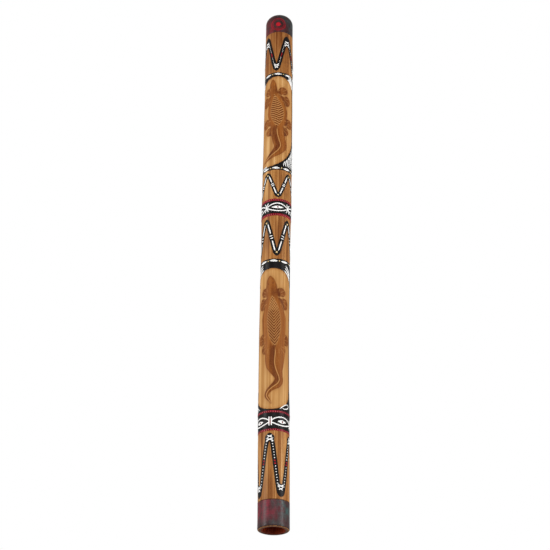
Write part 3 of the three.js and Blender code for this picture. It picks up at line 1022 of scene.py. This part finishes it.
def paint_lower_eyes(paints):
    eye_band(paints, *LOWER_EYES, 34, 4.4, 8.2, 6.6, (19, 7), 209.5,
             reach=42, width=2.2, bars=[(4.6, -9), (4.2, 10)], dots=(-1.2, -0.2, 0.8, 1.8))
    field(paints.black, LOWER_EYES[1] - 1, panel_end(LOWER_PANEL, panel_low, -MARGIN, 248))
    for start, way in ((24, 1), (-58, -1), (144, -1), (-166, 1)):
        leaf = [(start + way * out, LOWER_EYES[1] + up) for out, up in LEAF]
        stroke(paints.white, leaf, 1.7, pointed=4)
    side_line(paints, LOWER_PANEL)


def paint_middle(paints):
    field(paints.black, panel_end(LOWER_PANEL, panel_high, MARGIN, 540), LOWER_BORDER)
    lens_row(paints, LOWER_BORDER - 5.2, -4)
    for side, start in ((-1, 38), (1, 46)):
        corner_arcs(paints, LOWER_PANEL, side, start, 3, 4, 7)
    zigzag(paints, -38, 573.5, 663, 10.6, 0.12, tied_leg)
    tip_dots(paints, 4.2, (-38, 653.5), (7, 582.5))


def paint_upper_eyes(paints):
    eye_band(paints, *UPPER_EYES, 7, 5.8, 8, 7.6, (26, 6.2), 689.5,
             reach=41, width=1.8, bars=[(8, -10), (2.6, -3), (2.6, 5), (8, 11)], dots=())
    zigzag(paints, -37, 713, 776, 9.4, 0.12, tied_leg)
    tip_dots(paints, 3.6, (-37, 769), (8, 719.5))


def paint_upper_foot(paints):
    edge = panel_end(UPPER_PANEL, panel_low, -MARGIN, 830)
    field(paints.black, FOOT_BORDER, edge)
    lens_row(paints, FOOT_BORDER + 5.0, -3)
    for k in range(9):
        start = 26 + k * 9
        reach = edge(start + 4) - FOOT_BORDER - 14
        if reach > 3:
            foot = FOOT_BORDER + 11
            blade = [(start, foot), (start + 4, foot + reach * 0.6), (start + 10, foot + reach)]
            stroke(paints.white, blade, 1.9, pointed=5)
    for k in range(6):
        stroke(paints.white, [(-84 + k * 7, 788), (-80 + k * 7, 795)], 1.5)
    side_line(paints, UPPER_PANEL)


def paint_mouth_end(paints):
    field(paints.black, panel_end(UPPER_PANEL, panel_high, MARGIN, 1014), UPPER_BORDER)
    lens_row(paints, UPPER_BORDER - 4.6, -1, 4.8)
    corner_arcs(paints, UPPER_PANEL, -1, 62, 1, 4, 4)
    corner_arcs(paints, UPPER_PANEL, 1, 44, 4, 3.0, 4.6)
    zigzag(paints, -53, 1038, 1136, 10.6, 0.2, lined_leg)
    caps(paints, (-53, 1115, 14.5, 14, 1), (-8, 1051, 12.5, 11, -1))


def paint_mouthpiece(paints):
    """Two rings with a round spot in them."""
    centre, run = -2.5, 1166.5
    for radius, width in ((16.2, 2.0), (12.6, 1.0)):
        loop = [(centre + to_degrees(radius * math.cos(a)), run + radius * math.sin(a))
                for a in np.linspace(0, 2 * np.pi + 0.25, 51)]
        stroke(paints.crimson, loop, width, smooth=False, coats=0)
    dot(paints.red, centre, run, 11, coats=0)


def painting():
    for part, paint in (("bell_end", paint_bell_end), ("lower_eyes", paint_lower_eyes),
                        ("middle", paint_middle), ("upper_eyes", paint_upper_eyes),
                        ("upper_foot", paint_upper_foot), ("mouth_end", paint_mouth_end),
                        ("mouthpiece", paint_mouthpiece)):
        paints = Paints(part)
        paint(paints)
        paints.build("mouthpiece_wood" if part == "mouthpiece" else "bamboo")


# ---- Stage, light and camera ----


WHITE_LIGHT = (1, 1, 1, 1)
ROOM_RADIUS = 14
FLOOR_LEVEL = -1.35


def set_on_stage(sheet, name, surface, colour, glow):
    """Name a stage sheet and give it its surface and glow. It lights and reflects in nothing."""
    sheet.name = name
    surface.set(surface.shader, {"Emission Color": WHITE_LIGHT, "Emission Strength": glow})
    sheet.data.materials.append(surface.finish(colour, 0.8, ()))
    sheet.visible_diffuse = sheet.visible_glossy = False


def stage():
    """Dim even light, a white sheet all round that casts no shadow, and a pale floor."""
    world = bpy.data.worlds.new("studio")
    world.use_nodes = True
    world.node_tree.nodes["Background"].inputs["Color"].default_value = WHITE_LIGHT
    world.node_tree.nodes["Background"].inputs["Strength"].default_value = 0.44
    bpy.context.scene.world = world
    bpy.ops.mesh.primitive_uv_sphere_add(segments=32, ring_count=16, radius=ROOM_RADIUS)
    bpy.context.object.visible_shadow = False
    white = Surface("white_backdrop", specular=0)
    set_on_stage(bpy.context.object, "white_backdrop", white, (0, 0, 0, 1), 1)
    bpy.ops.mesh.primitive_circle_add(
        vertices=96, radius=ROOM_RADIUS - 0.1, fill_type="NGON", location=(0, 0, FLOOR_LEVEL))
    pale = Surface("pale_floor", specular=0.2)
    mottle = pale.ramp(pale.noise(1.5, detail=2), [(0.3, (240, 240, 238)), (0.7, (246, 246, 244))])
    set_on_stage(bpy.context.object, "floor", pale, mottle, 0.42)


def lights():
    """Two tall softboxes at the sides and a weaker one in front, all turned to the middle."""
    middle = Vector((0, 0, LENGTH * MM / 2))
    for name, spot, size, watts in (("left_softbox", (-2.0, -1.0, 0.7), (0.6, 2.6), 40),
                                    ("right_softbox", (2.0, -1.0, 0.5), (0.6, 2.6), 40),
                                    ("front_fill", (0.2, -2.9, 1.2), (1.4, 1.4), 15)):
        light = bpy.data.lights.new(name, "AREA")
        light.shape = "RECTANGLE"
        light.size, light.size_y = size
        light.energy = watts
        lamp = add_object(name, light)
        lamp.location = spot
        lamp.rotation_euler = (middle - Vector(spot)).to_track_quat("-Z", "Y").to_euler()


def camera():
    """The camera stands below the bell and looks up along the instrument."""
    pitch, yaw, roll = math.radians(27.75), math.radians(-2.358), math.radians(0.71)
    forward = Vector((math.sin(yaw) * math.cos(pitch), math.cos(yaw) * math.cos(pitch), math.sin(pitch)))
    level = Vector((math.cos(yaw), -math.sin(yaw), 0))
    up = level.cross(forward)
    right = math.cos(roll) * level + math.sin(roll) * up
    up = right.cross(forward)
    data = bpy.data.cameras.new("camera")
    data.lens = 93.18
    data.sensor_width = 36
    eye = add_object("camera", data)
    eye.matrix_world = Matrix((right, up, -forward)).transposed().to_4x4()
    eye.location = (0.1039, -2.5974, -0.8228)
    bpy.context.scene.camera = eye


bpy.context.scene.view_settings.view_transform = "Standard"
camera()
stage()
lights()
culm()
mouthpiece()
painting()
seal_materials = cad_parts["mouthpiece_seal"].data.materials
seal_materials.clear()
seal_materials.append(BEESWAX)
